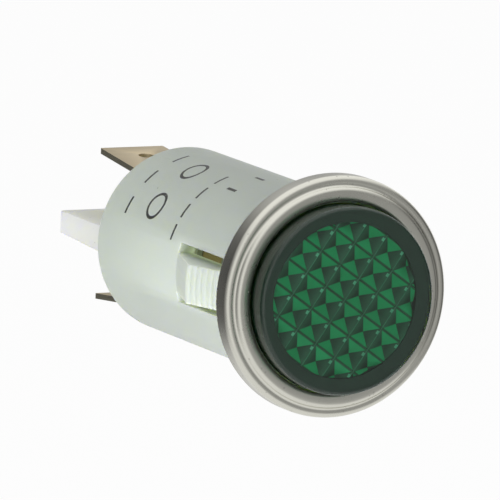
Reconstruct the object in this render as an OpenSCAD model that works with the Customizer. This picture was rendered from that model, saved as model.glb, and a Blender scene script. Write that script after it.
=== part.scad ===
// Panel pilot light: snap-in barrel, drawn bezel, faceted lens, neon lamp and two push-on tabs.
// The barrel lies along Y. The lens faces -Y and the tabs point along +Y.
// The origin is on the barrel's axis, in the plane where the bezel sits on the panel.

/* [Barrel] */
// Outside diameter of the barrel
barrel_d = 17; // [16.6:0.1:17.3]
// Length of the barrel behind the panel face
barrel_len = 29.6; // [28:0.2:34]
// Thickness of the barrel wall
wall_t = 1.6; // [1.5:0.05:1.8]
// Thickness of the wall around the terminal block
block_wall_t = 1.3; // [1.1:0.05:1.35]
// Thickness of the wall around the lens spigot
spigot_wall_t = 0.6; // [0.5:0.05:0.8]
// Rounding of the rear rim
rim_r = 0.5; // [0.2:0.1:0.8]
// Thickness of the front flange that the bezel grips
flange_t = 0.8; // [0.6:0.1:1.2]

/* [Snap arms] */
// Width of the window around each arm
window_w = 5.4; // [4.8:0.1:6]
// Distance from the panel face to the front edge of the window
window_front = 0.9; // [0.7:0.1:1.1]
// Distance from the panel face to the rear edge of the window
window_rear = 12.9; // [11.5:0.1:15]
// Width of each arm
arm_w = 3.5; // [3:0.1:4]
// Thickness of an arm where it leaves the barrel wall
arm_t = 1.3; // [1:0.1:1.5]
// Distance from the panel face to the ridge of the arm
ridge_y = 7; // [5.5:0.1:8.5]
// How far the ridge stands out from the barrel
ridge_out = 1.8; // [1:0.1:2.2]
// How far the arm's tip stands out from the barrel
tip_out = 0.2; // [0.1:0.05:0.4]
// Distance from the panel face to the arm's tip
arm_tip = 1.5; // [1.3:0.1:2]
// Number of grip ribs on the catch face
rib_count = 8; // [4:1:10]
// Height of a grip rib
rib_h = 0.16; // [0.08:0.02:0.24]

/* [Bezel] */
// Outside diameter of the bezel
bezel_d = 21.7; // [21.4:0.1:23]
// Thickness of the drawn sheet
sheet_t = 0.4; // [0.3:0.05:0.45]
// Outside radius of the curl that grips the flange
curl_r = 0.5; // [0.48:0.02:0.7]
// Width of the rear lip behind the flange, from the bezel's outside to its hole
lip_w = 1.15; // [1:0.05:1.6]
// Height of the outer bead in front of the panel
bead_top = 2.4; // [2.3:0.05:2.6]
// Outside radius of the outer bead
bead_r = 0.5; // [0.45:0.05:0.6]
// Radius of the valley between the bead and the inner land
valley_r = 0.22; // [0.18:0.02:0.3]
// Height of the inner land's shoulders in front of the panel
land_top = 2.7; // [2.6:0.05:2.8]
// Distance from the bezel's outside to the land's outer shoulder
land_inset = 1.4; // [1.35:0.05:1.5]
// Distance from the bezel's outside to the land's inner shoulder
roll_inset = 1.85; // [1.8:0.05:2]
// Outside radius of the land's shoulders
shoulder_r = 0.5; // [0.46:0.02:0.54]
// Radius of the dome across the land
dome_r = 2.5; // [2:0.1:4]
// How far the land rolls over towards the lens
roll_end = 138; // [125:1:142]

/* [Lens] */
// Gap between the bezel and the lens
lens_gap = 0.18; // [0.1:0.02:0.3]
// Height of the lens face in front of the panel
lens_top = 4.6; // [4:0.1:6]
// Rounding of the lens edge
lens_edge_r = 0.4; // [0.2:0.05:0.8]
// Thickness of the lens face in front of the pyramids
lens_face_t = 1.1; // [0.8:0.1:1.4]
// How far the lens flange stands out under the bezel
lens_flange_w = 0.65; // [0.5:0.05:0.75]
// Length of the spigot behind the lens flange
spigot_len = 1.6; // [1:0.1:1.7]
// Thickness of the spigot's wall around the pyramid field
spigot_t = 0.85; // [0.7:0.05:1.1]
// Pitch of the pyramids
pyramid_pitch = 2.3; // [1.8:0.1:3]
// Height of the pyramids
pyramid_h = 0.8; // [0.5:0.05:1.1]
// Turn of the pyramid rows about the lens axis
pyramid_turn = 35; // [0:1:45]

/* [Terminal block] */
// Distance from the panel face to the front of the block
block_front = 23.5; // [22.8:0.1:24.5]
// Distance from the panel face to the rear of the block
block_rear = 28.4; // [27.6:0.1:29]
// Distance from the panel face to the end of the barrier
barrier_end = 42.6; // [39:0.2:44]
// Distance from the barrel's outside to the side of the barrier where it leaves the block
barrier_inset = 1.6; // [1.5:0.05:2.2]
// How far each side of the barrier tapers in towards its end
barrier_taper = 0.7; // [0.3:0.05:0.9]
// How far the barrier and both tabs sit below the barrel's axis
insert_drop = 0.3; // [0:0.05:0.35]
// Thickness of the barrier where it leaves the block
barrier_root_t = 2.6; // [2.2:0.1:3]
// Thickness of the barrier at its end
barrier_end_t = 2; // [1.4:0.1:2.2]
// Rounding of the barrier's end corners
barrier_corner_r = 0.6; // [0.3:0.1:1]

/* [Tabs] */
// Width of a push-on tab
tab_w = 6.35; // [6.2:0.05:6.4]
// Thickness of the tab strip
tab_t = 0.5; // [0.4:0.05:0.8]
// Distance from the barrel's outside to a tab's outer face at the block, before the drop
tab_inset = 2.65; // [2.6:0.05:2.8]
// Outward splay of a tab
tab_splay = 5.4; // [0:0.2:8]
// Distance from the panel face to a tab's tip
tab_tip = 40.9; // [38.5:0.2:42]
// Rounding of a tab's tip corners
tab_corner_r = 0.5; // [0.3:0.1:1.2]
// Diameter of the tab's detent hole
tab_hole_d = 1.5; // [1.3:0.05:1.8]
// Distance from the tip to the detent hole
tab_hole_from_tip = 3.5; // [2.8:0.1:4.2]
// Width of the solder tail inside the barrel
tail_w = 2.6; // [2:0.1:3.4]
// Distance from the panel face to the end of the solder tail
tail_front = 19.5; // [18.5:0.1:20.5]

/* [Lamp] */
// Diameter of the glass envelope
lamp_d = 6; // [5.6:0.1:6.2]
// Distance from the panel face to the glass tip, ahead of the panel
lamp_tip_ahead = 1.2; // [0.6:0.1:1.6]
// Distance from the panel face to the rear of the glass press
lamp_rear = 11.8; // [11:0.1:12.4]
// Wall thickness of the glass
glass_t = 0.5; // [0.4:0.05:0.7]
// Length of the flattened glass press
press_len = 3.2; // [2.6:0.1:3.6]
// Width of the glass press
press_w = 4.8; // [4.2:0.1:5]
// Thickness of the glass press
press_t = 2; // [1.6:0.1:2.4]
// Diameter of an electrode
electrode_d = 1; // [0.8:0.05:1.1]
// Length of an electrode
electrode_len = 5; // [3.5:0.1:5.4]
// Distance between the electrodes' axes
electrode_gap = 2; // [1.8:0.1:2.4]
// Diameter of a lamp lead
lamp_lead_d = 0.5; // [0.4:0.02:0.56]

/* [Resistor] */
// Diameter of the resistor body
resistor_d = 2.3; // [2:0.05:2.4]
// Length of the resistor over its caps
resistor_len = 6; // [5.4:0.1:6.2]
// Length of a resistor end cap
cap_len = 1; // [0.7:0.05:1.4]
// Wall thickness of an end cap
cap_t = 0.12; // [0.1:0.01:0.16]
// Diameter of the resistor leads
resistor_lead_d = 0.6; // [0.5:0.02:0.64]
// Distance from the panel face to the front end of the resistor
resistor_front = 15.4; // [15:0.1:15.6]
// Outside diameter of the splice ferrule
ferrule_d = 1.3; // [1.1:0.05:1.4]
// Length of the splice ferrule
ferrule_len = 2; // [1.6:0.1:2.4]
// Wall of the insulating sleeve
sleeve_t = 0.2; // [0.15:0.01:0.25]
// Length of the insulating sleeve
sleeve_len = 5; // [3:0.1:5.5]
// Radius of a solder joint
solder_r = 0.85; // [0.7:0.05:1]

/* [Hidden] */

fit_gap = 0.05;
embed = 0.2;
over = 1;
elbow = 1.01;
slip = 0.01;
arc_steps = 6;
dome_steps = 3;
fine = 96;
small = 48;

barrel_r = barrel_d / 2;
bezel_r = bezel_d / 2;
flange_r = bezel_r - curl_r;
flange_top = sheet_t + flange_t;
bore_r = barrel_r - wall_t;
block_bore_r = barrel_r - block_wall_t;
spigot_bore_r = barrel_r - spigot_wall_t;
spigot_r = spigot_bore_r - fit_gap;
lip_r = bezel_r - lip_w;
roll_r = bezel_r - roll_inset;
lens_r = roll_r + shoulder_r * cos(roll_end) - lens_gap;
lens_flange_r = lens_r + lens_flange_w;
spigot_bore_end = spigot_len - flange_top + 2 * fit_gap;
lens_flange_top = land_top - sheet_t - fit_gap;
field_r = spigot_r - spigot_t;
ceiling = lens_top - lens_face_t;
ridge_r = barrel_r + ridge_out;
tip_r = barrel_r + tip_out;
arm_in_r = barrel_r - arm_t;
block_r = block_bore_r - fit_gap;
barrier_root_x = barrel_r - barrier_inset;
barrier_end_x = barrier_root_x - barrier_taper;
tab_z = barrel_r - tab_inset;
lamp_r = lamp_d / 2;
press_front = lamp_rear - press_len;
wire_x = electrode_gap / 2;
electrode_rear = press_front - glass_t;
electrode_front = electrode_rear - electrode_len;
splice_y = (lamp_rear + resistor_front) / 2;
resistor_rear = resistor_front + resistor_len;
lead_r = resistor_lead_d / 2;
lamp_lead_r = lamp_lead_d / 2;
tail_in_z = tab_z - tab_t;
solder_y = tail_front + solder_r;
upper_wire_z = tail_in_z - insert_drop - lamp_lead_r;
lower_wire_z = lead_r - tail_in_z - insert_drop;
sleeve_bend_y = lamp_rear + 1;

// Colours of the materials
steel = [0.72, 0.71, 0.68];
green_lens = [0.02, 0.36, 0.18];
nylon = [0.80, 0.84, 0.79];
white_nylon = [0.90, 0.92, 0.89];
brass = [0.72, 0.60, 0.36];
clear_glass = [0.80, 0.86, 0.86, 0.5];
nickel = [0.62, 0.62, 0.60];
copper = [0.72, 0.45, 0.30];
tan_body = [0.76, 0.62, 0.42];
solder = [0.70, 0.71, 0.72];

// Points of an arc about c with radius r, from angle a to angle b
function arc(c, r, a, b, steps = arc_steps) =
    [for (i = [0:steps]) let (t = a + (b - a) * i / steps) [c[0] + r * cos(t), c[1] + r * sin(t)]];

// The point at distance r1 from p1 and r2 from p2, on the left of the way from p1 to p2
function meet(p1, r1, p2, r2) =
    let (d = norm(p2 - p1), u = (p2 - p1) / d, a = (d * d + r1 * r1 - r2 * r2) / (2 * d))
    p1 + a * u + sqrt(r1 * r1 - a * a) * [-u[1], u[0]];

function angle_of(v) = atan2(v[1], v[0]);

// Turns a profile of [radius, distance in front of the panel] into a solid of revolution
module turned_forward() { rotate([90, 0, 0]) rotate_extrude($fn = fine) children(); }

// Turns a profile of [radius, distance behind the panel] into a solid of revolution
module turned_rearward() { rotate([-90, 0, 0]) rotate_extrude($fn = fine) children(); }

// Rod of radius r between two points
module rod(a, b, r, sides = small) {
    v = b - a;
    translate(a)
        rotate([0, acos(v[2] / norm(v)), atan2(v[1], v[0])])
            cylinder(h = norm(v), r = r, $fn = sides);
}

// Bent wire through a list of points, with round elbows
module wire(points, r) {
    for (i = [0:len(points) - 2]) rod(points[i], points[i + 1], r);
    for (i = [1:len(points) - 2]) translate(points[i]) sphere(r = elbow * r, $fn = small);
}

// ---------- bezel: one ring drawn from sheet ----------
// The section is a chain of arcs, so both faces of the sheet share the same centres.
curl_c = [bezel_r - curl_r, curl_r];
bead_c = [bezel_r - bead_r, bead_top - bead_r];
land_c = [bezel_r - land_inset, land_top - shoulder_r];
roll_c = [roll_r, land_top - shoulder_r];
valley_c = meet(land_c, shoulder_r + valley_r, bead_c, bead_r + valley_r);
dome_c = meet(land_c, dome_r - shoulder_r, roll_c, dome_r - shoulder_r);
bead_turn = angle_of(valley_c - bead_c);
land_turn = angle_of(valley_c - land_c);
dome_turn = angle_of(land_c - dome_c);
roll_turn = angle_of(roll_c - dome_c);

// One face of the sheet, inset from the outer face
function bezel_face(inset) = concat(
    [[lip_r, inset]],
    arc(curl_c, curl_r - inset, -90, 0),
    arc(bead_c, bead_r - inset, 0, bead_turn),
    arc(valley_c, valley_r + inset, bead_turn - 180, land_turn - 180),
    arc(land_c, shoulder_r - inset, land_turn, dome_turn),
    arc(dome_c, dome_r - inset, dome_turn, roll_turn, dome_steps),
    arc(roll_c, shoulder_r - inset, roll_turn, roll_end)
);

function backwards(list) = [for (i = [len(list) - 1:-1:0]) list[i]];

module bezel() {
    color(steel) turned_forward()
        polygon(concat(bezel_face(0), backwards(bezel_face(sheet_t))));
}

// ---------- lens: moulded cap with a field of pyramids inside its face ----------
module lens_cup() {
    turned_forward() polygon(concat(
        [[0, ceiling], [0, lens_top]],
        arc([lens_r - lens_edge_r, lens_top - lens_edge_r], lens_edge_r, 90, 0),
        [
            [lens_r, lens_flange_top],
            [lens_flange_r, lens_flange_top],
            [lens_flange_r, flange_top],
            [spigot_r, flange_top],
            [spigot_r, flange_top - spigot_len],
            [field_r, flange_top - spigot_len],
            [field_r, ceiling]
        ]
    ));
}

// Slab whose face is cut into V ridges along one direction
module ridged_slab(rows) {
    half = rows * pyramid_pitch;
    rotate([90, 0, 0]) linear_extrude(height = 2 * half, center = true)
        polygon(concat(
            [[-half, -embed]],
            [for (i = [-rows:rows - 1]) each [
                [i * pyramid_pitch, 0],
                [(i + 0.5) * pyramid_pitch, pyramid_h]
            ]],
            [[half, 0], [half, -embed]]
        ));
}

// Two crossed sets of ridges leave square pyramids where they meet
module pyramid_field() {
    rows = ceil(field_r / pyramid_pitch) + 1;
    intersection() {
        ridged_slab(rows);
        rotate([0, 0, 90]) ridged_slab(rows);
        translate([0, 0, -embed]) cylinder(h = embed + pyramid_h, r = field_r + embed, $fn = fine);
    }
}

module lens() {
    color(green_lens) union() {
        lens_cup();
        translate([0, -ceiling, 0]) rotate([-90, pyramid_turn, 0]) pyramid_field();
    }
}

// ---------- housing: moulded barrel with two snap arms ----------
module barrel() {
    rim_c = [barrel_r - rim_r, barrel_len - rim_r];
    turned_rearward() polygon(concat(
        [
            [spigot_bore_r, -flange_top],
            [flange_r, -flange_top],
            [flange_r, -sheet_t],
            [barrel_r, -sheet_t]
        ],
        arc(rim_c, rim_r, 0, 90),
        [
            [block_bore_r, barrel_len],
            [block_bore_r, block_front],
            [bore_r, block_front],
            [bore_r, spigot_bore_end],
            [spigot_bore_r, spigot_bore_end]
        ]
    ));
}

// Section of a snap arm: root in the wall, ramp to the ridge, ribbed catch face to the tip
function arm_section() =
    let (
        step = [tip_r - ridge_r, arm_tip - ridge_y] / rib_count,
        out = [-step[1], step[0]] / norm(step) * rib_h
    )
    concat(
        [
            [arm_in_r, arm_tip],
            [arm_in_r, window_rear + embed],
            [barrel_r - fit_gap, window_rear + embed],
            [barrel_r, window_rear - embed]
        ],
        [for (i = [0:rib_count - 1]) each [
            [ridge_r, ridge_y] + i * step,
            [ridge_r, ridge_y] + (i + 0.55) * step,
            [ridge_r, ridge_y] + (i + 0.75) * step - out
        ]],
        [[tip_r, arm_tip]]
    );

module snap_arms() {
    intersection() {
        turned_rearward() polygon(arm_section());
        translate([-ridge_r - over, 0, -arm_w / 2])
            cube([2 * (ridge_r + over), window_rear + over, arm_w]);
    }
}

module housing() {
    color(nylon) union() {
        difference() {
            barrel();
            translate([-barrel_r - over, window_front, -window_w / 2])
                cube([barrel_d + 2 * over, window_rear - window_front, window_w]);
        }
        snap_arms();
    }
}

// ---------- terminal block: plug with a barrier between the tabs ----------
module barrier_plan() {
    root = barrier_root_x;
    end = barrier_end_x;
    r = barrier_corner_r;
    polygon(concat(
        [[-root, block_rear - embed], [root, block_rear - embed]],
        arc([end - r, barrier_end - r], r, 0, 90),
        arc([-end + r, barrier_end - r], r, 90, 180)
    ));
}

module barrier_side() {
    root = barrier_root_t / 2;
    end = barrier_end_t / 2;
    polygon([
        [block_rear - embed, -root], [barrier_end, -end],
        [barrier_end, end], [block_rear - embed, root]
    ]);
}

module tab_slot(side) {
    low = side > 0 ? tail_in_z : -tab_z;
    translate([-tab_w / 2 - fit_gap, block_front - over, low - insert_drop - fit_gap])
        cube([tab_w + 2 * fit_gap, block_rear - block_front + 2 * over, tab_t + 2 * fit_gap]);
}

module terminal_block() {
    color(white_nylon) union() {
        difference() {
            translate([0, block_front, 0]) rotate([-90, 0, 0])
                cylinder(h = block_rear - block_front, r = block_r, $fn = fine);
            tab_slot(1);
            tab_slot(-1);
        }
        translate([0, 0, -insert_drop]) intersection() {
            translate([0, 0, -barrier_root_t]) linear_extrude(height = 2 * barrier_root_t)
                barrier_plan();
            rotate([90, 0, 90]) linear_extrude(height = 2 * barrier_root_x + over, center = true)
                barrier_side();
        }
    }
}

// ---------- terminals: strip with a solder tail, a bend and a push-on tab ----------
tab_len = (tab_tip - block_rear) / cos(tab_splay);
tab_dir = [cos(tab_splay), sin(tab_splay)];
tab_in = [sin(tab_splay), -cos(tab_splay)];

module strip_side() {
    bend = [block_rear, tab_z];
    tip = bend + tab_len * tab_dir;
    bevel = tab_t / 4;
    polygon([
        [tail_front, tab_z],
        bend,
        tip - 2 * bevel * tab_dir,
        tip + bevel * tab_in,
        tip + (tab_t - bevel) * tab_in,
        tip - 2 * bevel * tab_dir + tab_t * tab_in,
        [block_rear + tab_t * tan(tab_splay / 2), tail_in_z],
        [tail_front, tail_in_z]
    ]);
}

module strip_plan() {
    half = tab_w / 2;
    tail = tail_w / 2;
    shoulder = block_front - half + tail;
    r = tab_corner_r;
    polygon(concat(
        [
            [-half, shoulder + half - tail], [-tail, shoulder], [-tail, tail_front],
            [tail, tail_front], [tail, shoulder], [half, shoulder + half - tail]
        ],
        arc([half - r, tab_tip - r], r, 0, 90),
        arc([-half + r, tab_tip - r], r, 90, 180)
    ));
}

module terminal() {
    hole = [block_rear, tab_z] + (tab_len - tab_hole_from_tip) * tab_dir;
    difference() {
        intersection() {
            rotate([90, 0, 90]) linear_extrude(height = tab_w + over, center = true) strip_side();
            linear_extrude(height = barrel_d) strip_plan();
        }
        translate([0, hole[0], hole[1]]) rotate([tab_splay, 0, 0])
            cylinder(h = 2 * over, d = tab_hole_d, center = true, $fn = small);
    }
}

module terminal_upper() { color(brass) translate([0, 0, -insert_drop]) terminal(); }

module terminal_lower() {
    color(brass) translate([0, 0, -insert_drop]) mirror([0, 0, 1]) terminal();
}

// ---------- neon lamp ----------
module glass_blank(r, front, rear) {
    turned_rearward() polygon(concat(
        [[0, rear]],
        [[0, front]],
        arc([0, front + r], r, -90, 0, 2 * arc_steps),
        [[r, rear]]
    ));
}

module lamp_envelope() {
    nip_r = lamp_r / 4;
    front = nip_r - lamp_tip_ahead;
    hole_r = lamp_lead_r + slip;
    color(clear_glass) difference() {
        union() {
            glass_blank(lamp_r, front, press_front);
            translate([0, front - nip_r / 2, 0]) sphere(r = nip_r, $fn = small);
            translate([-press_w / 2, press_front - embed, -press_t / 2])
                cube([press_w, press_len + embed, press_t]);
        }
        glass_blank(lamp_r - glass_t, front + glass_t, press_front - glass_t);
        for (side = [-1, 1])
            rod([side * wire_x, press_front - over, 0], [side * wire_x, lamp_rear + over, 0], hole_r);
    }
}

module electrode(side) {
    color(nickel)
        rod([side * wire_x, electrode_front, 0], [side * wire_x, electrode_rear, 0], electrode_d / 2);
}

module electrode_left() { electrode(-1); }

module electrode_right() { electrode(1); }

module lamp_lead_left() {
    color(copper) rod([-wire_x, electrode_rear, 0], [-wire_x, splice_y, 0], lamp_lead_r);
}

right_lead = [
    [wire_x, electrode_rear, 0],
    [wire_x, sleeve_bend_y, 0],
    [0, sleeve_bend_y, upper_wire_z],
    [0, solder_y, upper_wire_z]
];

module lamp_lead_right() { color(copper) wire(right_lead, lamp_lead_r); }

module insulating_sleeve() {
    a = right_lead[2] + [0, over, 0];
    b = a + [0, sleeve_len, 0];
    color(white_nylon) difference() {
        rod(a, b, lamp_lead_r + slip + sleeve_t);
        rod(a - [0, over, 0], b + [0, over, 0], lamp_lead_r + slip);
    }
}

// ---------- resistor in series with the lamp ----------
module splice_ferrule() {
    a = [-wire_x, splice_y - ferrule_len / 2, 0];
    b = [-wire_x, splice_y + ferrule_len / 2, 0];
    color(brass) difference() {
        rod(a, b, ferrule_d / 2);
        rod(a - [0, over, 0], b + [0, over, 0], lead_r + slip);
    }
}

module resistor_lead_front() {
    color(solder) rod([-wire_x, splice_y, 0], [-wire_x, resistor_front, 0], lead_r);
}

module resistor_body() {
    color(tan_body)
        rod([-wire_x, resistor_front + cap_t, 0], [-wire_x, resistor_rear - cap_t, 0], resistor_d / 2);
}

// Cup pressed over one end of the resistor body
module resistor_cap(open_y, end_y) {
    way = sign(end_y - open_y);
    color(nickel) difference() {
        rod([-wire_x, open_y, 0], [-wire_x, end_y, 0], resistor_d / 2 + cap_t);
        rod([-wire_x, open_y - way * over, 0], [-wire_x, end_y - way * cap_t, 0], resistor_d / 2);
    }
}

module resistor_cap_front() { resistor_cap(resistor_front + cap_len, resistor_front); }

module resistor_cap_rear() { resistor_cap(resistor_rear - cap_len, resistor_rear); }

rear_lead = [
    [-wire_x, resistor_rear, 0],
    [-wire_x, resistor_rear + over, 0],
    [0, resistor_rear + over, lower_wire_z + over],
    [0, resistor_rear, lower_wire_z],
    [0, solder_y, lower_wire_z]
];

module resistor_lead_rear() { color(solder) wire(rear_lead, lead_r); }

// ---------- solder joints on the tails ----------
// The wire ends in the middle of the joint and leaves it forwards (way -1) or rearwards (way 1)
module solder_joint(wire_r, way) {
    wire_z = tail_in_z - wire_r;
    end_y = solder_y - way * slip;
    difference() {
        translate([0, solder_y, wire_z]) sphere(r = solder_r, $fn = small);
        rod([0, end_y, wire_z], [0, end_y + way * 2 * over, wire_z], wire_r + slip);
        translate([-over - solder_r, tail_front - over, tail_in_z])
            cube([2 * (over + solder_r), 4 * over, 2 * over]);
    }
}

module solder_upper() {
    color(solder) translate([0, 0, -insert_drop]) solder_joint(lamp_lead_r, -1);
}

module solder_lower() {
    color(solder) translate([0, 0, -insert_drop]) mirror([0, 0, 1]) solder_joint(lead_r, 1);
}

bezel();
lens();
housing();
terminal_block();
terminal_upper();
terminal_lower();
lamp_envelope();
electrode_left();
electrode_right();
lamp_lead_left();
lamp_lead_right();
insulating_sleeve();
splice_ferrule();
resistor_body();
resistor_cap_front();
resistor_cap_rear();
resistor_lead_front();
resistor_lead_rear();
solder_upper();
solder_lower();
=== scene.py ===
"""Panel pilot light, dressed around its solid frame."""

import math

import bmesh
import bpy
from bpy.props import FloatProperty, FloatVectorProperty, IntProperty, PointerProperty
from mathutils import Matrix, Vector


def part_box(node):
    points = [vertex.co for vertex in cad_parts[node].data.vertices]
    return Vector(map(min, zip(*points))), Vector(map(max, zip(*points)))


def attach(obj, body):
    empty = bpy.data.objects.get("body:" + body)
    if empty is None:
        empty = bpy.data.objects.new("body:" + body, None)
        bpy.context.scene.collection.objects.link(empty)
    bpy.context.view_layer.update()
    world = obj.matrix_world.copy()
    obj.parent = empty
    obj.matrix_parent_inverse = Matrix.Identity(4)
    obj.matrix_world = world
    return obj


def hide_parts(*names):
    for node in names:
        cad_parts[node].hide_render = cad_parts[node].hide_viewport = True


bl_info = {
    "name": "Panel pilot light",
    "version": (1, 0, 0),
    "blender": (4, 5, 0),
    "location": "3D View > Sidebar > Pilot light",
    "description": "Bezel, lens, barrel, tabs and lamp of a panel pilot light, with their finishes",
    "category": "Object",
}

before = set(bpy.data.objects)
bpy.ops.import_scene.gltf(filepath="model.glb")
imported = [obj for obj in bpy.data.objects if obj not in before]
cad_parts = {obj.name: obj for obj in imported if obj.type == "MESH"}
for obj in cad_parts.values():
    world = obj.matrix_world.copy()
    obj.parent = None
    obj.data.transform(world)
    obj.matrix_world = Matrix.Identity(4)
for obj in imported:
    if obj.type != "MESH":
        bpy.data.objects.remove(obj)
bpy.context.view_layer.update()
BODY = "root"
MM = 0.001

_, bezel_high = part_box("bezel")
lens_low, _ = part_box("lens")
_, tab_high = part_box("terminal_upper")

BARREL_RADIUS = 8.5 * MM
SEAM = 0.0005 * MM


# ---------- settings ----------

class PilotBezelSettings(bpy.types.PropertyGroup):
    """Sizes and finish of the drawn bezel"""
    radius: FloatProperty(
        name="Radius",
        description="Outside radius of the bezel",
        subtype="DISTANCE", unit="LENGTH", default=bezel_high.x)
    land: FloatProperty(
        name="Land",
        description="Height of the land's shoulders in front of the panel",
        subtype="DISTANCE", unit="LENGTH", default=2.7 * MM)
    bead: FloatProperty(
        name="Bead",
        description="Height of the outer bead in front of the panel",
        subtype="DISTANCE", unit="LENGTH", default=2.3 * MM)
    sheet: FloatProperty(
        name="Sheet",
        description="Thickness of the sheet",
        subtype="DISTANCE", unit="LENGTH", default=0.4 * MM)
    segments: IntProperty(
        name="Segments",
        description="Facets around the ring",
        default=256)
    colour: FloatVectorProperty(
        name="Colour",
        description="Colour of the steel",
        subtype="COLOR", size=3, default=(0.57, 0.565, 0.505))
    roughness: FloatProperty(
        name="Roughness",
        description="Roughness of the steel",
        default=0.28)


class PilotLensSettings(bpy.types.PropertyGroup):
    """Edges, colour, and painted light and shade of the lens's facets"""
    edge: FloatProperty(
        name="Edge",
        description="Rounding of the moulded edges",
        subtype="DISTANCE", unit="LENGTH", default=0.035 * MM)
    pitch: FloatProperty(
        name="Pitch",
        description="Pitch of the pyramids",
        subtype="DISTANCE", unit="LENGTH", default=2.3 * MM)
    turn: FloatProperty(
        name="Turn",
        description="Turn of the pyramid rows about the lens axis",
        subtype="ANGLE", unit="ROTATION", default=math.radians(35))
    field: FloatProperty(
        name="Field",
        description="Radius of the pyramid field",
        subtype="DISTANCE", unit="LENGTH", default=7.0 * MM)
    skin: FloatProperty(
        name="Skin",
        description="Thickness of clear plastic in front of the coloured core",
        subtype="DISTANCE", unit="LENGTH", default=0.03 * MM)
    clear: FloatVectorProperty(
        name="Clear",
        description="Tint of the clear skin",
        subtype="COLOR", size=3, default=(0.60, 0.95, 0.80))
    # Painted light: colour of the facets that catch the light
    bright: FloatVectorProperty(
        name="Bright",
        description="Colour of the facets that catch the light",
        subtype="COLOR", size=3, default=(0.001, 0.46, 0.17))
    # Painted shade: colour of the facets turned away from the light
    dark: FloatVectorProperty(
        name="Dark",
        description="Colour of the facets turned away",
        subtype="COLOR", size=3, default=(0.012, 0.07, 0.035))
    rim: FloatVectorProperty(
        name="Rim",
        description="Colour of the plain rim and the side",
        subtype="COLOR", size=3, default=(0.006, 0.026, 0.012))
    roughness: FloatProperty(
        name="Roughness",
        description="Roughness of the clear skin",
        default=0.04)


class PilotNylonSettings(bpy.types.PropertyGroup):
    """Colours of the moulded nylon"""
    edge: FloatProperty(
        name="Edge",
        description="Rounding of the moulded edges",
        subtype="DISTANCE", unit="LENGTH", default=0.08 * MM)
    barrel: FloatVectorProperty(
        name="Barrel",
        description="Colour of the barrel",
        subtype="COLOR", size=3, default=(0.53, 0.58, 0.53))
    # Also the colour of the painted glow on the barrel's inner wall
    inside: FloatVectorProperty(
        name="Inside",
        description="Colour of the barrel's inner wall",
        subtype="COLOR", size=3, default=(0.50, 0.57, 0.40))
    block: FloatVectorProperty(
        name="Block",
        description="Colour of the terminal block",
        subtype="COLOR", size=3, default=(0.86, 0.88, 0.84))


class PilotBrassSettings(bpy.types.PropertyGroup):
    """Edges and colours of the stamped strip"""
    edge: FloatProperty(
        name="Edge",
        description="Rounding of the stamped edges",
        subtype="DISTANCE", unit="LENGTH", default=0.04 * MM)
    face: FloatVectorProperty(
        name="Face",
        description="Colour of the strip's faces",
        subtype="COLOR", size=3, default=(0.56, 0.47, 0.31))
    cut: FloatVectorProperty(
        name="Cut",
        description="Colour of the sheared edges",
        subtype="COLOR", size=3, default=(0.16, 0.15, 0.11))


# ---------- mesh helpers ----------

def settings(name):
    return getattr(bpy.context.scene, "pilot_" + name)


def link_piece(name, bm, material, slot, *nodes):
    """Makes an object at the origin from a bmesh and puts it on the body."""
    mesh = bpy.data.meshes.new(name)
    bm.to_mesh(mesh)
    bm.free()
    piece = bpy.data.objects.new(name, mesh)
    bpy.context.scene.collection.objects.link(piece)
    mesh.materials.append(material)
    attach(piece, BODY)
    if nodes:
        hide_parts(*nodes)
    return piece


def merged_copy(node):
    """The CAD node's mesh with its seams closed and its degenerate faces removed."""
    bm = bmesh.new()
    bm.from_mesh(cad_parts[node].data)
    bmesh.ops.remove_doubles(bm, verts=bm.verts, dist=SEAM)
    bmesh.ops.dissolve_degenerate(bm, edges=bm.edges, dist=SEAM)
    bmesh.ops.recalc_face_normals(bm, faces=bm.faces)
    return bm


def shade(bm, angle):
    """Smooth faces, with the edges sharper than the angle kept hard."""
    for face in bm.faces:
        face.smooth = True
    for edge in bm.edges:
        edge.smooth = edge.is_manifold and edge.calc_face_angle(0) < angle


FLAT_ANGLE = math.radians(0.4)
SHARP_ANGLE = math.radians(24)
EASED_ANGLE = math.radians(35)


def eased_copy(node, width):
    """A copy of the node with its sharp edges rounded a little."""
    bm = merged_copy(node)
    bmesh.ops.dissolve_limit(bm, angle_limit=FLAT_ANGLE, verts=bm.verts, edges=bm.edges)
    sharp = [e for e in bm.edges if e.is_manifold and e.calc_face_angle(0) > SHARP_ANGLE]
    bmesh.ops.bevel(
        bm, geom=sharp, offset=width, offset_type="OFFSET", affect="EDGES",
        segments=2, profile=0.5, material=-1, clamp_overlap=True,
        miter_outer="SHARP", miter_inner="SHARP")
    shade(bm, EASED_ANGLE)
    return bm


def arc(centre, radius, start, end, steps):
    """Points along an arc, with its angles in degrees."""
    turns = [math.radians(start + (end - start) * i / steps) for i in range(steps + 1)]
    return [(centre[0] + radius * math.cos(t), centre[1] + radius * math.sin(t)) for t in turns]


def spun(profile, segments):
    """A closed ring from a closed profile of (radius, distance in front of the panel)."""
    bm = bmesh.new()
    verts = [bm.verts.new((r, -f, 0)) for r, f in profile]
    edges = [bm.edges.new((verts[i], verts[(i + 1) % len(verts)])) for i in range(len(verts))]
    bmesh.ops.spin(
        bm, geom=verts + edges, cent=(0, 0, 0), axis=(0, 1, 0),
        angle=math.tau, steps=segments, use_merge=True)
    bmesh.ops.remove_doubles(bm, verts=bm.verts, dist=SEAM)
    bmesh.ops.recalc_face_normals(bm, faces=bm.faces)
    return bm


# ---------- material helpers ----------

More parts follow.
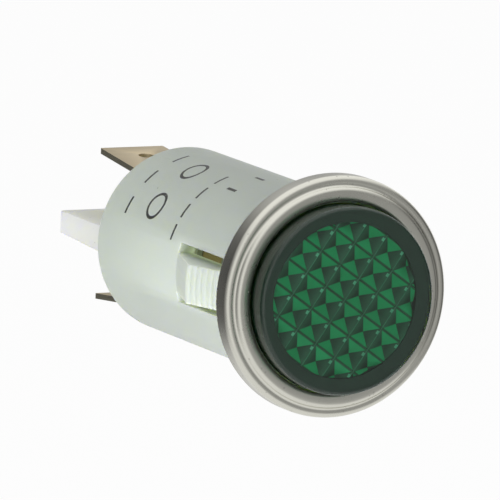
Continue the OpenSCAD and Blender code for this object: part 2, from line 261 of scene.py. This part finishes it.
class Nodes:
    """Short ways to add and join shader nodes in one tree."""

    def __init__(self, tree):
        self.tree = tree

    def add(self, kind, **values):
        node = self.tree.nodes.new(kind)
        for key, value in values.items():
            setattr(node, key, value)
        return node

    def put(self, socket, value):
        if isinstance(value, bpy.types.NodeSocket):
            self.tree.links.new(value, socket)
        else:
            socket.default_value = value

    def math(self, operation, a, b=0.0, c=0.0, clamp=False):
        node = self.add("ShaderNodeMath", operation=operation, use_clamp=clamp)
        for socket, value in zip(node.inputs, (a, b, c)):
            self.put(socket, value)
        return node.outputs[0]

    def ramp(self, value, low, high, to_low=0.0, to_high=1.0):
        node = self.add("ShaderNodeMapRange", interpolation_type="SMOOTHSTEP")
        for socket, item in zip(node.inputs, (value, low, high, to_low, to_high)):
            self.put(socket, item)
        return node.outputs[0]

    def mix(self, factor, a, b, blend="MIX"):
        node = self.add("ShaderNodeMix", data_type="RGBA", blend_type=blend)
        self.put(node.inputs[0], factor)
        for socket, value in ((node.inputs[6], a), (node.inputs[7], b)):
            if not isinstance(value, bpy.types.NodeSocket) and len(value) == 3:
                value = (*value, 1.0)
            self.put(socket, value)
        return node.outputs[2]

    def noise(self, vector, scale, detail=3.0, roughness=0.5, distortion=0.0):
        node = self.add("ShaderNodeTexNoise")
        self.put(node.inputs["Vector"], vector)
        self.put(node.inputs["Scale"], scale)
        self.put(node.inputs["Detail"], detail)
        self.put(node.inputs["Roughness"], roughness)
        self.put(node.inputs["Distortion"], distortion)
        return node.outputs["Fac"]

    def place(self, vector, scale=(1, 1, 1), location=(0, 0, 0), rotation=(0, 0, 0)):
        node = self.add("ShaderNodeMapping")
        self.put(node.inputs["Vector"], vector)
        self.put(node.inputs["Scale"], scale)
        self.put(node.inputs["Location"], location)
        self.put(node.inputs["Rotation"], rotation)
        return node.outputs[0]

    def toned(self, colour, tone):
        """The colour made darker by a tone from 0 to 1."""
        return self.mix(1.0, colour, self.mix(tone, (0, 0, 0), (1, 1, 1)), "MULTIPLY")

    def split(self, vector):
        node = self.add("ShaderNodeSeparateXYZ")
        self.put(node.inputs[0], vector)
        return node.outputs

    def from_axis(self, vector):
        """Distance from the light's long axis."""
        axes = self.split(vector)
        squares = [self.math("POWER", axes[i], 2.0) for i in (0, 2)]
        return self.math("SQRT", self.math("ADD", *squares))

    def cloud(self, vector, scale):
        return use_group(self, group("cloud"), Vector=vector, Scale=scale)["Value"]


def new_group(name, inputs, outputs):
    """A shader node group with its sockets; gives the group, its helper and the two end nodes."""
    group = bpy.data.node_groups.new(name, "ShaderNodeTree")
    for label, kind, default in inputs:
        socket = group.interface.new_socket(label, in_out="INPUT", socket_type=kind)
        if default is not None:
            socket.default_value = default
    for label, kind in outputs:
        group.interface.new_socket(label, in_out="OUTPUT", socket_type=kind)
    n = Nodes(group)
    return group, n, n.add("NodeGroupInput").outputs, n.add("NodeGroupOutput").inputs


def new_material(name):
    material = bpy.data.materials.new(name)
    material.use_nodes = True
    material.node_tree.nodes.clear()
    n = Nodes(material.node_tree)
    shader = n.add("ShaderNodeBsdfPrincipled")
    output = n.add("ShaderNodeOutputMaterial")
    n.put(output.inputs["Surface"], shader.outputs[0])
    coords = n.add("ShaderNodeTexCoord").outputs["Object"]
    return material, n, shader, coords


def use_group(n, group, **values):
    node = n.add("ShaderNodeGroup", node_tree=group)
    for key, value in values.items():
        n.put(node.inputs[key.replace("_", " ")], value)
    return node.outputs


def specks_group():
    """Small round specks, such as pits in metal or dust moulded into plastic."""
    group, n, given, out = new_group(
        "Specks",
        [
            ("Vector", "NodeSocketVector", None),
            ("Scale", "NodeSocketFloat", 900.0),
            ("Size", "NodeSocketFloat", 0.2),
            ("Share", "NodeSocketFloat", 0.1),
        ],
        [("Mask", "NodeSocketFloat")],
    )
    cells = n.add("ShaderNodeTexVoronoi", feature="F1")
    n.put(cells.inputs["Vector"], given["Vector"])
    n.put(cells.inputs["Scale"], given["Scale"])
    split = n.add("ShaderNodeSeparateColor")
    n.put(split.inputs[0], cells.outputs["Color"])
    spread = n.math("ADD", n.math("MULTIPLY", split.outputs[1], 0.7), 0.5)
    size = n.math("MULTIPLY", given["Size"], spread)
    dot = n.ramp(n.math("DIVIDE", cells.outputs["Distance"], size), 0.6, 1.0, 1.0, 0.0)
    kept = n.math("LESS_THAN", split.outputs[0], given["Share"])
    n.put(out["Mask"], n.math("MULTIPLY", dot, kept))
    return group


def cloud_group():
    """Slow, uneven change over a surface, from -1 to 1."""
    group, n, given, out = new_group(
        "Cloud",
        [("Vector", "NodeSocketVector", None), ("Scale", "NodeSocketFloat", 120.0)],
        [("Value", "NodeSocketFloat")],
    )
    broad = n.noise(given["Vector"], given["Scale"], 4.0, 0.55)
    n.put(out["Value"], n.math("MULTIPLY", n.math("SUBTRACT", broad, 0.5), 3.0))
    return group


# Parts of the studio's walls: azimuth from the lens side, half width, change of brightness
WALL_LEVEL = 0.44
WALL_PATCHES = (
    ("left window", -34, 52, 0.75),
    ("rear corner", -140, 72, -0.36),
    ("dark side", 75, 32, -0.36),
    ("right window", 128, 30, 0.95),
)
# Heights on the unit sphere between which the walls give way to ceiling and table
CEILING_LEVEL, CEILING_RISE = 1.35, (0.30, 0.85)
TABLE_LEVEL, TABLE_RISE = 1.1, (-0.70, -0.28)


def studio_group():
    """How bright the studio is in a direction: walls with windows, pale ceiling, white table."""
    group, n, given, out = new_group(
        "Studio",
        [("Direction", "NodeSocketVector", None)],
        [("Value", "NodeSocketFloat")],
    )
    unit = n.add("ShaderNodeVectorMath", operation="NORMALIZE")
    n.put(unit.inputs[0], given["Direction"])
    flat = n.add("ShaderNodeVectorMath", operation="NORMALIZE")
    n.put(flat.inputs[0], n.place(unit.outputs[0], (1, 1, 0)))
    walls = WALL_LEVEL
    for _, azimuth, width, change in WALL_PATCHES:
        aim = math.radians(azimuth)
        facing = n.add("ShaderNodeVectorMath", operation="DOT_PRODUCT")
        n.put(facing.inputs[0], flat.outputs[0])
        n.put(facing.inputs[1], (math.sin(aim), -math.cos(aim), 0))
        angle = n.math("ARCCOSINE", facing.outputs["Value"])
        patch = n.ramp(angle, 0.0, math.radians(width), change, 0.0)
        walls = n.math("ADD", walls, patch)
    height = n.split(unit.outputs[0])[2]
    upper = n.ramp(height, *CEILING_RISE, 0.0, 1.0)
    lower = n.ramp(height, *TABLE_RISE, 1.0, 0.0)
    for share, level in ((upper, CEILING_LEVEL), (lower, TABLE_LEVEL)):
        change = n.math("MULTIPLY", share, n.math("SUBTRACT", level, walls))
        walls = n.math("ADD", walls, change)
    n.put(out["Value"], walls)
    return group


GROUPS = {}


def group(name):
    """The shared node group of that name, made when first asked for."""
    makers = {
        "specks": specks_group,
        "cloud": cloud_group,
        "studio": studio_group,
        "marks": marks_group,
    }
    if name not in GROUPS:
        GROUPS[name] = makers[name]()
    return GROUPS[name]


def bump(n, shader, height, distance, strength=1.0):
    node = n.add("ShaderNodeBump")
    n.put(node.inputs["Strength"], strength)
    n.put(node.inputs["Distance"], distance)
    n.put(node.inputs["Height"], height)
    n.put(shader.inputs["Normal"], node.outputs[0])


# ---------- finishes ----------

def steel_material():
    s = settings("bezel")
    material, n, shader, coords = new_material("satin_steel")
    cloud = n.cloud(coords, 160.0)
    pits = use_group(
        n, group("specks"), Vector=coords, Scale=2600.0, Size=0.32, Share=0.16)["Mask"]
    grain = n.noise(coords, 9000.0, 2.0, 0.6)
    base = n.toned((*s.colour, 1.0), n.math("MULTIPLY_ADD", cloud, 0.05, 1.0))
    base = n.mix(n.math("MULTIPLY", pits, 0.35), base, (0.25, 0.24, 0.22))
    n.put(shader.inputs["Base Color"], base)
    n.put(shader.inputs["Metallic"], 1.0)
    rough = n.math("MULTIPLY_ADD", cloud, 0.03, s.roughness)
    n.put(shader.inputs["Roughness"], n.math("MULTIPLY_ADD", pits, 0.15, rough))
    height = n.math("SUBTRACT", n.math("MULTIPLY", grain, 0.25), pits)
    bump(n, shader, height, 0.006 * MM, 0.6)
    return material


def lens_material():
    """Clear green skin of the lens."""
    s = settings("lens")
    material, n, shader, coords = new_material("clear_green")
    n.put(shader.inputs["Base Color"], (*s.clear, 1.0))
    n.put(shader.inputs["IOR"], 1.5)
    n.put(shader.inputs["Transmission Weight"], 1.0)
    cloud = n.cloud(coords, 500.0)
    n.put(shader.inputs["Roughness"], n.math("MULTIPLY_ADD", cloud, 0.01, s.roughness))
    bump(n, shader, cloud, 0.004 * MM, 0.5)
    return material


# Places in a pyramid's cell, as shares of the pitch from its middle, and the colours of the painted
# light and shade there: the shaded facets' lighter edge, the ridge highlight and the glints
HIP_HALF = 0.035
GROOVE = (0.43, 0.465)
RIDGE = (0.47, 0.495)
GLINT_ACROSS = (0.45, 0.045)
GLINT_ALONG = (0.28, 0.07)
SHADED_EDGE = (0.04, 0.14, 0.08)
PAINTED_RIDGE_HIGHLIGHT = (0.10, 0.40, 0.24)
GLINT_LIGHT = (0.20, 0.70, 0.45)


def core_material():
    """Coloured core of the lens, with painted light and shade: each square cell has two bright and
    two dark facets, with painted shade along hips and grooves and painted highlights on ridges and
    glints.
    """
    s = settings("lens")
    material, n, shader, coords = new_material("green_core_painted_light")
    rows = n.split(n.place(coords, rotation=(0, -s.turn, 0)))
    across, along = (
        n.math("SUBTRACT", n.math("FRACT", n.math("DIVIDE", rows[i], s.pitch)), 0.5)
        for i in (0, 2))
    u, v = n.math("ABSOLUTE", across), n.math("ABSOLUTE", along)
    side = n.math("SUBTRACT", v, u)
    # Painted shade on the facets turned away, lighter towards the ridge, and painted light on the
    # facets that catch it
    turned_away = n.mix(n.ramp(u, 0.12, 0.5), s.dark, SHADED_EDGE)
    base = n.mix(n.ramp(side, -0.012, 0.012), turned_away, s.bright)
    # Painted shade along the hips
    hip = n.ramp(n.math("ABSOLUTE", side), 0.0, HIP_HALF, 0.6, 0.0)
    base = n.mix(hip, base, s.dark)
    # Painted shade along the grooves
    base = n.mix(n.ramp(v, *GROOVE, 0.0, 0.92), base, s.dark)
    # Painted highlight along the ridges
    base = n.mix(n.ramp(u, *RIDGE, 0.0, 0.5), base, PAINTED_RIDGE_HIGHLIGHT)
    # Painted glints beside the nodes
    glint = n.math(
        "MULTIPLY",
        n.math("COMPARE", across, *GLINT_ACROSS),
        n.math("COMPARE", along, *GLINT_ALONG))
    base = n.mix(n.math("MULTIPLY", glint, 0.75), base, GLINT_LIGHT)
    rim = n.ramp(n.from_axis(coords), s.field - 0.12 * MM, s.field - 0.02 * MM)
    base = n.mix(rim, base, s.rim)
    cloud = n.cloud(coords, 420.0)
    n.put(shader.inputs["Base Color"], n.toned(base, n.math("MULTIPLY_ADD", cloud, 0.18, 1.0)))
    n.put(shader.inputs["Roughness"], n.math("MULTIPLY_ADD", cloud, 0.05, 0.45))
    return material


# Plain marks on the barrel, in mm: way around from the left side, distance behind the panel
STROKE_HALF = 0.16
BARS = (
    *((around, 15.0, 0.75, STROKE_HALF) for around in (3.4, 5.6, 7.8, 10.0)),
    *((around, 11.5, STROKE_HALF, 0.85) for around in (9.3, 12.2)),
    *((around, 25.2, 0.85, STROKE_HALF) for around in (4.3, 7.6, 10.9)),
)
RINGS = tuple((around, 20.4, 1.25) for around in (5.1, 9.9))


def marks_group():
    """Ink mask of the plain bars and rings, read on the unrolled barrel."""
    group, n, given, out = new_group(
        "Marks",
        [("Vector", "NodeSocketVector", None)],
        [("Mask", "NodeSocketFloat")],
    )
    axes = n.split(given["Vector"])
    angle = n.math("ARCTAN2", axes[2], n.math("MULTIPLY", axes[0], -1.0))
    around = n.math("MULTIPLY", angle, BARREL_RADIUS / MM)
    behind = n.math("DIVIDE", axes[1], MM)
    ink = 0.0
    for a, b, half_a, half_b in BARS:
        bar = n.math(
            "MULTIPLY",
            n.math("COMPARE", around, a, half_a),
            n.math("COMPARE", behind, b, half_b))
        ink = n.math("MAXIMUM", ink, bar)
    for a, b, radius in RINGS:
        offsets = n.math("SUBTRACT", around, a), n.math("SUBTRACT", behind, b)
        reach = n.math("SQRT", n.math("ADD", *(n.math("MULTIPLY", o, o) for o in offsets)))
        ink = n.math("MAXIMUM", ink, n.math("COMPARE", reach, radius, STROKE_HALF))
    n.put(out["Mask"], ink)
    return group


INK = (0.018, 0.018, 0.018)
DUST = (0.10, 0.10, 0.09)
BORE_RADIUS = 7.0 * MM
WALL_MIDDLE = 7.8 * MM
WALL_SKIN = 8.2 * MM


def nylon_material(name, colour, inner=None):
    """Moulded nylon; with an inner colour it is the barrel, with its marks, its inner wall's colour
    and a painted glow on that wall.
    """
    material, n, shader, coords = new_material(name)
    cloud = n.cloud(coords, 140.0)
    dust = use_group(
        n, group("specks"), Vector=coords, Scale=1500.0, Size=0.13, Share=0.035)["Mask"]
    base = (*colour, 1.0)
    if inner is not None:
        radius = n.from_axis(coords)
        base = n.mix(n.ramp(radius, BORE_RADIUS + 0.3 * MM, WALL_SKIN), inner, colour)
    base = n.toned(base, n.math("MULTIPLY_ADD", cloud, 0.035, 1.0))
    base = n.mix(n.math("MULTIPLY", dust, 0.75), base, DUST)
    if inner is not None:
        outside = n.math("GREATER_THAN", radius, WALL_SKIN)
        marks = use_group(n, group("marks"), Vector=coords)["Mask"]
        ink = n.math("MULTIPLY", marks, outside)
        worn = n.ramp(n.noise(coords, 1800.0, 3.0, 0.6), 0.30, 0.42, 0.70, 0.96)
        base = n.mix(n.math("MULTIPLY", ink, worn), base, INK)
        # Painted glow: the inner wall near the bore gives light in its own colour, though it is no
        # lamp
        painted_glow = n.ramp(radius, BORE_RADIUS, WALL_MIDDLE, 0.30, 0.0)
        n.put(shader.inputs["Emission Color"], n.mix(painted_glow, (0, 0, 0), inner))
        n.put(shader.inputs["Emission Strength"], 1.0)
    n.put(shader.inputs["Base Color"], base)
    n.put(shader.inputs["Roughness"], n.math("MULTIPLY_ADD", cloud, 0.04, 0.42))
    n.put(shader.inputs["IOR"], 1.5)
    n.put(shader.inputs["Subsurface Weight"], 1.0)
    n.put(shader.inputs["Subsurface Radius"], (1.0, 1.0, 0.6))
    n.put(shader.inputs["Subsurface Scale"], 2.0 * MM)
    skin = n.noise(coords, 2600.0, 3.0, 0.6)
    bump(n, shader, n.math("MULTIPLY_ADD", cloud, 0.5, skin), 0.012 * MM, 0.5)
    return material


def brass_material():
    s = settings("brass")
    material, n, shader, coords = new_material("stamped_brass")
    streaks = n.noise(n.place(coords, (0.25, 3.0, 1.0)), 900.0, 3.0, 0.6)
    cloud = n.cloud(coords, 260.0)
    patina = n.math("MULTIPLY_ADD", cloud, 0.12, 0.82)
    tone = n.math("ADD", n.math("MULTIPLY", streaks, 0.35), patina)
    off_middle = n.math("ABSOLUTE", n.split(coords)[0])
    side = n.ramp(off_middle, tab_high.x - 0.05 * MM, tab_high.x - 0.01 * MM)
    n.put(shader.inputs["Base Color"], n.toned(n.mix(side, s.face, s.cut), tone))
    n.put(shader.inputs["Metallic"], n.ramp(side, 0.0, 1.0, 1.0, 0.6))
    n.put(shader.inputs["Roughness"], n.math("MULTIPLY_ADD", streaks, 0.12, 0.36))
    bump(n, shader, streaks, 0.006 * MM, 0.5)
    return material


def plain_material(name, colour, metallic, roughness, grain):
    material, n, shader, coords = new_material(name)
    cloud = n.cloud(coords, grain)
    tone = n.math("MULTIPLY_ADD", cloud, 0.08, 1.0)
    n.put(shader.inputs["Base Color"], n.toned((*colour, 1.0), tone))
    n.put(shader.inputs["Metallic"], metallic)
    n.put(shader.inputs["Roughness"], n.math("MULTIPLY_ADD", cloud, 0.05, roughness))
    return material


def glass_material():
    material, n, shader, coords = new_material("lamp_glass_clear")
    n.put(shader.inputs["Base Color"], (0.93, 0.97, 0.96, 1.0))
    n.put(shader.inputs["Transmission Weight"], 1.0)
    n.put(shader.inputs["IOR"], 1.5)
    cloud = n.cloud(coords, 300.0)
    n.put(shader.inputs["Roughness"], n.math("MULTIPLY_ADD", cloud, 0.01, 0.03))
    return material


def dress(node, material):
    """Gives a CAD node its finish."""
    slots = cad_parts[node].material_slots
    for slot in slots:
        slot.material = material
    if not slots:
        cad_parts[node].data.materials.append(material)


# ---------- pieces ----------

def meet(p1, r1, p2, r2):
    """The point at distance r1 from p1 and r2 from p2, on the left of the way from p1 to p2."""
    a, b = Vector(p1), Vector(p2)
    d = (b - a).length
    u = (b - a) / d
    along = (d * d + r1 * r1 - r2 * r2) / (2 * d)
    return a + u * along + Vector((-u.y, u.x)) * math.sqrt(r1 * r1 - along * along)


def angle_between(centre, point):
    """Angle in degrees of the way from a centre to a point."""
    return math.degrees(math.atan2(point.y - centre.y, point.x - centre.x))


BEND_RADIUS = 0.5 * MM
VALLEY_RADIUS = 0.30 * MM
DOME_RADIUS = 2.5 * MM
HEM_INSET = 1.15 * MM
LAND_INSET = 1.4 * MM
ROLL_INSET = 1.85 * MM
ROLL_END = 138


def bezel_section(s):
    """Closed section of the drawn ring: both faces share the arcs' centres."""
    curl = Vector((s.radius - BEND_RADIUS, BEND_RADIUS))
    bead = Vector((s.radius - BEND_RADIUS, s.bead - BEND_RADIUS))
    land = Vector((s.radius - LAND_INSET, s.land - BEND_RADIUS))
    roll = Vector((s.radius - ROLL_INSET, s.land - BEND_RADIUS))
    to_valley = BEND_RADIUS + VALLEY_RADIUS
    to_dome = DOME_RADIUS - BEND_RADIUS
    valley = meet(land, to_valley, bead, to_valley)
    dome = meet(land, to_dome, roll, to_dome)
    bead_turn = angle_between(bead, valley)
    land_turn = angle_between(land, valley)
    dome_turn = angle_between(dome, land)
    roll_turn = angle_between(dome, roll)
    faces = []
    for inset in (0.0, s.sheet):
        bend = BEND_RADIUS - inset
        faces.append(
            [(s.radius - HEM_INSET, inset)]
            + arc(curl, bend, -90, 0, 14)
            + arc(bead, bend, 0, bead_turn, 22)
            + arc(valley, VALLEY_RADIUS + inset, bead_turn - 180, land_turn - 180, 14)
            + arc(land, bend, land_turn, dome_turn, 14)
            + arc(dome, DOME_RADIUS - inset, dome_turn, roll_turn, 8)
            + arc(roll, bend, roll_turn, ROLL_END, 12)
        )
    return faces[0] + faces[1][::-1]


class PILOT_OT_bezel(bpy.types.Operator):
    """Spins the drawn bezel ring"""
    bl_idname = "pilot.bezel"
    bl_label = "Bezel"

    def execute(self, context):
        s = settings("bezel")
        bm = spun(bezel_section(s), s.segments)
        shade(bm, math.radians(40))
        link_piece("drawn_bezel", bm, steel_material(), "bezel_steel", "bezel")
        return {"FINISHED"}


FIELD_DEPTH = 2.2 * MM
PLAIN_WALL = 1.0 * MM
CORE_RADIUS = 8.34 * MM
CORE_FOOT = 1.3 * MM
CORE_STEP = 0.2 * MM
CORE_CHAMFER = 0.06 * MM


def lens_core(s):
    """Coloured core just inside the clear skin, which carries the painted facet light and shade:
    pyramid faces and the plain wall around them.
    """
    bm = merged_copy("lens")
    others = [
        face for face in bm.faces
        if face.normal.y < 0.2
        or face.calc_center_median().y > lens_low.y + FIELD_DEPTH
        or math.hypot(*face.calc_center_median().xz) > s.field
    ]
    bmesh.ops.delete(bm, geom=others, context="FACES")
    bmesh.ops.translate(bm, verts=bm.verts, vec=(0, -s.skin, 0))
    bmesh.ops.reverse_faces(bm, faces=bm.faces)
    top, inner = -lens_low.y - PLAIN_WALL, s.field + 0.1 * MM
    wall = [
        (s.field - s.skin, top - 0.08 * MM),
        (s.field, top),
        (CORE_RADIUS - CORE_CHAMFER, top),
        (CORE_RADIUS, top - CORE_CHAMFER),
        (CORE_RADIUS, 1.9 * MM),
        (CORE_RADIUS - CORE_STEP, CORE_FOOT),
        (inner, CORE_FOOT),
        (inner, top - CORE_STEP),
    ]
    ring = spun(wall, 192)
    ring_mesh = bpy.data.meshes.new("core_ring")
    ring.to_mesh(ring_mesh)
    ring.free()
    bm.from_mesh(ring_mesh)
    bpy.data.meshes.remove(ring_mesh)
    shade(bm, math.radians(20))
    return bm


class PILOT_OT_lens(bpy.types.Operator):
    """Makes the clear skin of the lens and its coloured core"""
    bl_idname = "pilot.lens"
    bl_label = "Lens"

    def execute(self, context):
        s = settings("lens")
        skin = eased_copy("lens", s.edge)
        link_piece("faceted_lens", skin, lens_material(), "green_lens", "lens")
        link_piece("lens_core", lens_core(s), core_material(), "green_lens")
        return {"FINISHED"}


class PILOT_OT_housing(bpy.types.Operator):
    """Rounds the edges of the barrel and its snap arms"""
    bl_idname = "pilot.housing"
    bl_label = "Housing"

    def execute(self, context):
        s = settings("nylon")
        bm = eased_copy("housing", s.edge)
        material = nylon_material("barrel_nylon", s.barrel, s.inside)
        link_piece("moulded_housing", bm, material, "nylon", "housing")
        return {"FINISHED"}


class PILOT_OT_block(bpy.types.Operator):
    """Rounds the edges of the terminal block and its barrier"""
    bl_idname = "pilot.block"
    bl_label = "Terminal block"

    def execute(self, context):
        s = settings("nylon")
        bm = eased_copy("terminal_block", s.edge)
        material = nylon_material("block_nylon", s.block)
        link_piece("moulded_block", bm, material, "white_nylon", "terminal_block")
        return {"FINISHED"}


class PILOT_OT_terminals(bpy.types.Operator):
    """Rounds the stamped edges of both tabs"""
    bl_idname = "pilot.terminals"
    bl_label = "Terminals"

    def execute(self, context):
        s = settings("brass")
        material = brass_material()
        for end in ("upper", "lower"):
            bm = eased_copy("terminal_" + end, s.edge)
            link_piece("stamped_tab_" + end, bm, material, "brass_strip", "terminal_" + end)
        return {"FINISHED"}


# Inner pieces: finish, colour, metallic, roughness, grain of the unevenness, nodes
INNER_FINISHES = (
    ("nickel_plain", (0.50, 0.49, 0.47), 1.0, 0.35, 600.0,
     ("electrode_left", "electrode_right", "resistor_cap_front", "resistor_cap_rear")),
    ("copper_wire", (0.62, 0.38, 0.25), 1.0, 0.35, 700.0,
     ("lamp_lead_left", "lamp_lead_right")),
    ("plastic_sleeving", (0.74, 0.74, 0.68), 0.0, 0.45, 500.0, ("insulating_sleeve",)),
    ("ferrule_brass", (0.55, 0.43, 0.24), 1.0, 0.35, 500.0, ("splice_ferrule",)),
    ("resistor_lacquer", (0.52, 0.37, 0.19), 0.0, 0.35, 500.0, ("resistor_body",)),
    ("tinned_copper", (0.60, 0.60, 0.59), 1.0, 0.38, 700.0,
     ("resistor_lead_front", "resistor_lead_rear")),
    ("soft_solder", (0.58, 0.59, 0.60), 1.0, 0.30, 900.0, ("solder_upper", "solder_lower")),
)


class PILOT_OT_lamp(bpy.types.Operator):
    """Gives the lamp, the resistor and their wiring their finishes"""
    bl_idname = "pilot.lamp"
    bl_label = "Lamp and wiring"

    def execute(self, context):
        dress("lamp_envelope", glass_material())
        for *finish, nodes in INNER_FINISHES:
            material = plain_material(*finish)
            for node in nodes:
                dress(node, material)
        return {"FINISHED"}


# ---------- stage ----------

def light_seen(n, direction):
    """Who sees the surroundings, and how bright: white for the camera, studio for the rest."""
    path = n.add("ShaderNodeLightPath").outputs
    mirrored = n.math("MAXIMUM", path["Is Glossy Ray"], path["Is Transmission Ray"])
    seen = n.math("MAXIMUM", path["Is Camera Ray"], mirrored)
    studio = use_group(n, group("studio"), Direction=direction)["Value"]
    level = n.add("ShaderNodeMix", data_type="FLOAT")
    n.put(level.inputs[0], path["Is Camera Ray"])
    n.put(level.inputs[2], studio)
    n.put(level.inputs[3], 1.0)
    return seen, level.outputs[0]


def white_for_view(name, colour, share):
    """Pale surface that the camera sees nearly white, with the shadow kept."""
    material = bpy.data.materials.new(name)
    material.use_nodes = True
    material.node_tree.nodes.clear()
    n = Nodes(material.node_tree)
    matt = n.add("ShaderNodeBsdfDiffuse")
    n.put(matt.inputs["Color"], (*colour, 1.0))
    seen, level = light_seen(n, n.add("ShaderNodeTexCoord").outputs["Object"])
    glow = n.add("ShaderNodeEmission")
    n.put(glow.inputs["Color"], WHITE)
    n.put(glow.inputs["Strength"], level)
    mixer = n.add("ShaderNodeMixShader")
    n.put(mixer.inputs[0], n.math("MULTIPLY", seen, share))
    n.put(mixer.inputs[1], matt.outputs[0])
    n.put(mixer.inputs[2], glow.outputs[0])
    n.put(n.add("ShaderNodeOutputMaterial").inputs["Surface"], mixer.outputs[0])
    return material


FLOOR_SIZE = 6.0
FLOOR_HEIGHT = -0.045
SOFT_LEVEL = 0.40
WHITE = (1, 1, 1, 1)
MIDDLE = (0, 0.01, 0)

# Soft lamps: place, aim, width, height, power
LAMPS = {
    "soft_top": ((0.10, 0.0, 0.7), MIDDLE, 0.7, 0.7, 1.3),
    "soft_left": ((-0.7, -0.35, 0.05), MIDDLE, 0.5, 0.5, 3.6),
    "table_glow": ((-0.03, -0.03, -0.043), (-0.01, 0.0, 0), 0.16, 0.16, 0.18),
    "soft_right": ((0.6, -0.6, 0.3), MIDDLE, 0.4, 0.5, 1.0),
}


def lay_floor():
    """Flat square sheet under the light."""
    bm = bmesh.new()
    bmesh.ops.create_grid(bm, x_segments=1, y_segments=1, size=0.5)
    spread = Matrix.Diagonal((FLOOR_SIZE, FLOOR_SIZE, 1, 1))
    lowered = Matrix.Translation((0, 0, FLOOR_HEIGHT))
    bmesh.ops.transform(bm, verts=bm.verts, matrix=lowered @ spread)
    mesh = bpy.data.meshes.new("floor")
    bm.to_mesh(mesh)
    bm.free()
    sheet = bpy.data.objects.new("floor", mesh)
    bpy.context.scene.collection.objects.link(sheet)
    mesh.materials.append(white_for_view("pale_floor", (0.90, 0.90, 0.90), 0.95))


def area_light(name, place, target, width, height, power):
    """Soft lamp that metal and glass don't mirror."""
    light = bpy.data.lights.new(name, "AREA")
    light.shape = "RECTANGLE"
    light.size, light.size_y, light.energy = width, height, power
    lamp = bpy.data.objects.new(name, light)
    lamp.location = place
    aim = (Vector(place) - Vector(target)).to_track_quat("Z", "Y")
    lamp.rotation_euler = aim.to_euler()
    lamp.visible_glossy = False
    lamp.visible_transmission = False
    bpy.context.scene.collection.objects.link(lamp)


def studio_world():
    """Even light for matt surfaces; the studio for metal and glass; white for the camera."""
    world = bpy.data.worlds.new("studio")
    world.use_nodes = True
    world.node_tree.nodes.clear()
    n = Nodes(world.node_tree)
    seen, level = light_seen(n, n.add("ShaderNodeTexCoord").outputs["Generated"])
    soft, white = n.add("ShaderNodeBackground"), n.add("ShaderNodeBackground")
    n.put(soft.inputs["Strength"], SOFT_LEVEL)
    n.put(white.inputs["Strength"], level)
    mixer = n.add("ShaderNodeMixShader")
    n.put(mixer.inputs[0], seen)
    for socket, node in zip(mixer.inputs[1:], (soft, white)):
        n.put(node.inputs["Color"], WHITE)
        n.put(socket, node.outputs[0])
    n.put(n.add("ShaderNodeOutputWorld").inputs["Surface"], mixer.outputs[0])
    return world


CAMERA_PLACE = (-0.39539, -0.78552, 0.14928)
CAMERA_AZIMUTH = math.radians(-26.278)
CAMERA_ELEVATION = math.radians(9.407)
CAMERA_ROLL = math.radians(2.28)
CAMERA_LENS = 726.6


def set_camera(scene):
    """Camera with a long lens, turned by azimuth, elevation and roll."""
    camera = bpy.data.cameras.new("camera")
    camera.lens = CAMERA_LENS
    camera.sensor_width = 36.0
    camera.clip_start = 0.05
    camera.clip_end = 20.0
    eye = bpy.data.objects.new("camera", camera)
    scene.collection.objects.link(eye)
    level = math.cos(CAMERA_ELEVATION)
    back = Vector((
        math.sin(CAMERA_AZIMUTH) * level,
        -math.cos(CAMERA_AZIMUTH) * level,
        math.sin(CAMERA_ELEVATION),
    ))
    side = Vector((0, 0, 1)).cross(back).normalized()
    up = back.cross(side)
    right = side * math.cos(CAMERA_ROLL) + up * math.sin(CAMERA_ROLL)
    turn = Matrix((right, back.cross(right), back)).transposed().to_4x4()
    eye.matrix_world = Matrix.Translation(CAMERA_PLACE) @ turn
    scene.camera = eye


class PILOT_OT_stage(bpy.types.Operator):
    """Sets up the floor, the soft lights and the camera"""
    bl_idname = "pilot.stage"
    bl_label = "Stage"

    def execute(self, context):
        scene = context.scene
        scene.view_settings.view_transform = "Standard"
        scene.world = studio_world()
        lay_floor()
        for name, lamp in LAMPS.items():
            area_light(name, *lamp)
        set_camera(scene)
        return {"FINISHED"}


class PILOT_PT_panel(bpy.types.Panel):
    """Lists the pieces of the pilot light"""
    bl_label = "Pilot light"
    bl_idname = "PILOT_PT_panel"
    bl_space_type = "VIEW_3D"
    bl_region_type = "UI"
    bl_category = "Pilot light"

    def draw(self, context):
        for operator in OPERATORS:
            self.layout.operator(operator.bl_idname)
        for name in SETTINGS:
            column = self.layout.column(align=True)
            column.label(text=name.capitalize())
            group_of = getattr(context.scene, "pilot_" + name)
            for key in group_of.__annotations__:
                column.prop(group_of, key)


OPERATORS = (
    PILOT_OT_stage,
    PILOT_OT_bezel,
    PILOT_OT_lens,
    PILOT_OT_housing,
    PILOT_OT_block,
    PILOT_OT_terminals,
    PILOT_OT_lamp,
)
SETTINGS = {
    "bezel": PilotBezelSettings,
    "lens": PilotLensSettings,
    "nylon": PilotNylonSettings,
    "brass": PilotBrassSettings,
}


def register():
    for kind in (*SETTINGS.values(), *OPERATORS, PILOT_PT_panel):
        bpy.utils.register_class(kind)
    for name, kind in SETTINGS.items():
        setattr(bpy.types.Scene, "pilot_" + name, PointerProperty(type=kind))


def unregister():
    for name in SETTINGS:
        delattr(bpy.types.Scene, "pilot_" + name)
    for kind in (PILOT_PT_panel, *reversed(OPERATORS), *reversed(list(SETTINGS.values()))):
        bpy.utils.unregister_class(kind)


def main():
    register()
    bpy.ops.pilot.stage()
    bpy.ops.pilot.bezel()
    bpy.ops.pilot.lens()
    bpy.ops.pilot.housing()
    bpy.ops.pilot.block()
    bpy.ops.pilot.terminals()
    bpy.ops.pilot.lamp()


if __name__ == "__main__":
    main()
